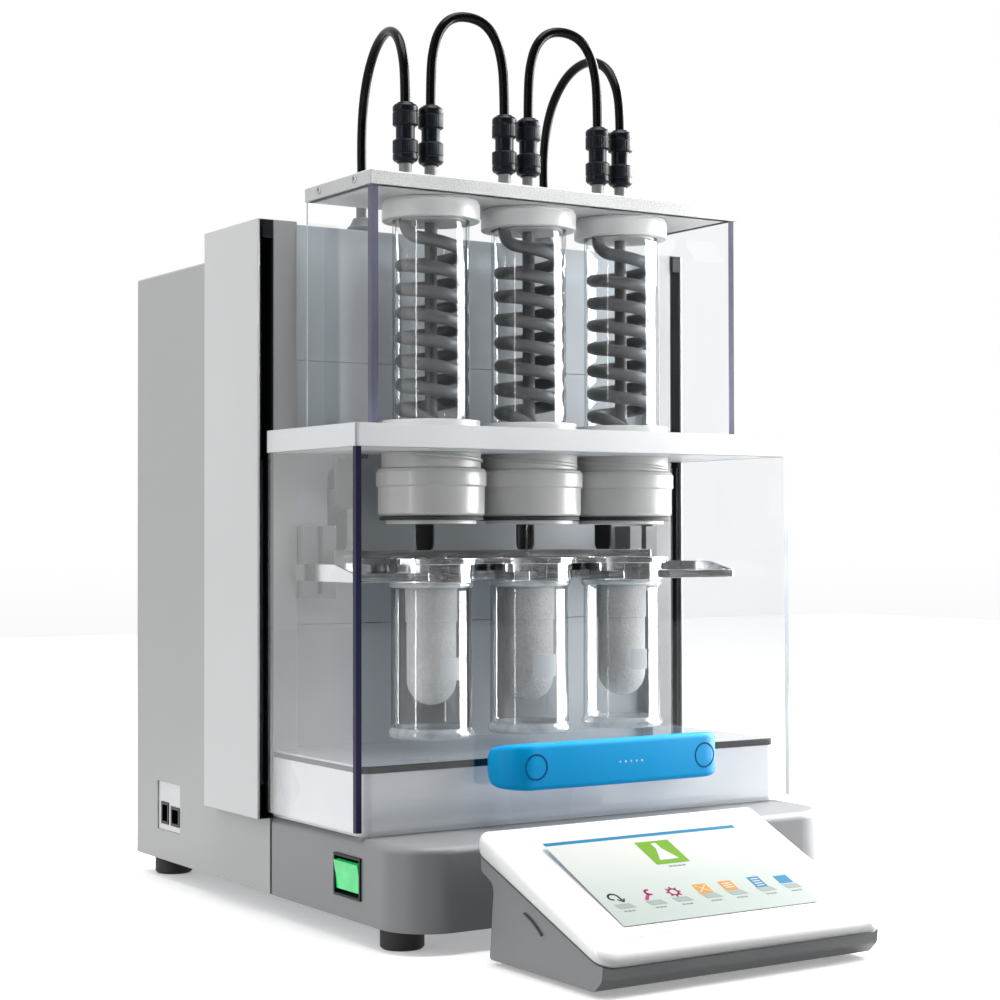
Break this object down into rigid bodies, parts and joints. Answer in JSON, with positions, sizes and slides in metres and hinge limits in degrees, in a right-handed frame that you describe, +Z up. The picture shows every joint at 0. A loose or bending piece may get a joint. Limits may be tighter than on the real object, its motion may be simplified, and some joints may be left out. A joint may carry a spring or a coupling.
{
  "type": "solvent extraction unit",
  "caption": "Automatic solvent extractor: glass condensers over cups on a hot plate, behind a lifting clear shield, with a grey cabinet and a separate touch pad.",
  "frame": {"origin": "on the bench, under the middle of the whole set's bounding box", "axes": "+X to the right seen from the front, +Y to the back, +Z up"},
  "size_m": [0.373, 0.594, 0.6335],
  "materials": {
    "cabinet_grey": "satin powder coat",
    "cover_white": "satin powder coat",
    "wall_grey": "satin powder coat",
    "base_grey": "satin powder coat",
    "deck_white": "gloss coat",
    "plate_black": "gloss enamel",
    "plate_top": "gloss glass ceramic",
    "steel": "polished",
    "plain_steel": "machined",
    "black_plastic": "fine grain",
    "white_plastic": "satin",
    "collar_grey": "satin, moulded",
    "neck_grey": "satin, moulded",
    "seal_white": "smooth",
    "black_rubber": "matte",
    "hose_black": "gloss",
    "green_plastic": "gloss",
    "blue_plastic": "satin",
    "clear_panel": "clear, polished",
    "lab_glass": "clear",
    "paper_white": "pressed fibre",
    "board_alu": "brushed, light",
    "coil_grey": "satin",
    "connector_black": "fine grain",
    "screen": "gloss display",
    "pad_white": "satin",
    "pad_grey": "fine grain",
    "motor_dark": "matte"
  },
  "bodies": {
    "cabinet": {"cabinet_shell": "cabinet_grey", "cabinet_back": "cabinet_grey", "chassis_plate": "plain_steel", "feet": "black_rubber", "pillars": "cabinet_grey", "left_side_cover": "cover_white", "right_side_cover": "cover_white", "slot_liners": "black_plastic", "wall_top_panel": "wall_grey", "wall_slot_panel": "wall_grey", "wall_bottom_panel": "wall_grey", "base_housing": "base_grey", "deck_housing": "deck_white", "plate_frame": "plate_black", "hot_plate": "plate_top", "heater_blocks": "plain_steel", "switch_bezel": "black_plastic", "port_plate": "white_plastic", "port_sockets": "black_plastic", "mains_inlet": "black_plastic", "water_ports": "plain_steel", "hose_fittings": "neck_grey", "guide_rods": "steel", "lift_screw": "plain_steel", "lift_motor": "motor_dark", "rack_rails": "plain_steel", "pad_base": "pad_grey", "pad_top_shell": "pad_white", "pad_screen": "screen"},
    "shield": {"shield_frame": "cover_white", "shield_left_panel": "clear_panel", "shield_right_panel": "clear_panel", "shield_front_panel": "clear_panel", "shield_shoes": "black_plastic", "handle_grip": "blue_plastic"},
    "head": {"lift_carriage": "plain_steel", "top_board": "board_alu", "head_floor": "board_alu", "head_side_panels": "clear_panel", "head_front_panel": "clear_panel", "condenser_caps": "white_plastic", "tube_seats": "white_plastic", "condenser_tubes": "lab_glass", "cooling_coils": "coil_grey", "collar_necks": "neck_grey", "gaskets": "black_rubber", "seal_discs": "seal_white", "hose_connectors": "connector_black", "hose_bridge_1": "hose_black", "hose_bridge_2": "hose_black", "hose_inlet": "hose_black", "hose_outlet": "hose_black"},
    "rack": {"cup_rack": "steel", "cups": "lab_glass", "thimbles": "paper_white"},
    "switch": {"switch_rocker": "green_plastic"},
    "ring_1": {"locking_ring_1": "collar_grey"},
    "ring_2": {"locking_ring_2": "collar_grey"},
    "ring_3": {"locking_ring_3": "collar_grey"}
  },
  "joints": [
    {"name": "shield_lift", "type": "slide", "parent": "cabinet", "child": "shield", "axis": [0, 0, 1], "range_m": [0, 0.15]},
    {"name": "head_lift", "type": "slide", "parent": "cabinet", "child": "head", "axis": [0, 0, -1], "range_m": [0, 0.0237], "deforming": ["hose_inlet", "hose_outlet"]},
    {"name": "rack_press", "type": "slide", "parent": "cabinet", "child": "rack", "axis": [0, 0, -1], "range_m": [0, 0.009], "stiffness_N_per_m": 2000, "springref_m": -0.012},
    {"name": "switch_rock", "type": "hinge", "parent": "cabinet", "child": "switch", "pos_m": [-0.173, -0.0638, 0.0418], "axis": [0, 1, 0], "range_deg": [0, 14]},
    {"name": "ring_turn_1", "type": "hinge", "parent": "head", "child": "ring_1", "pos_m": [-0.082, -0.011, 0.29], "axis": [0, 0, 1], "range_deg": [0, 90]},
    {"name": "ring_turn_2", "type": "hinge", "parent": "head", "child": "ring_2", "pos_m": [0, -0.011, 0.29], "axis": [0, 0, 1], "range_deg": [0, 90]},
    {"name": "ring_turn_3", "type": "hinge", "parent": "head", "child": "ring_3", "pos_m": [0.082, -0.011, 0.29], "axis": [0, 0, 1], "range_deg": [0, 90]}
  ]
}
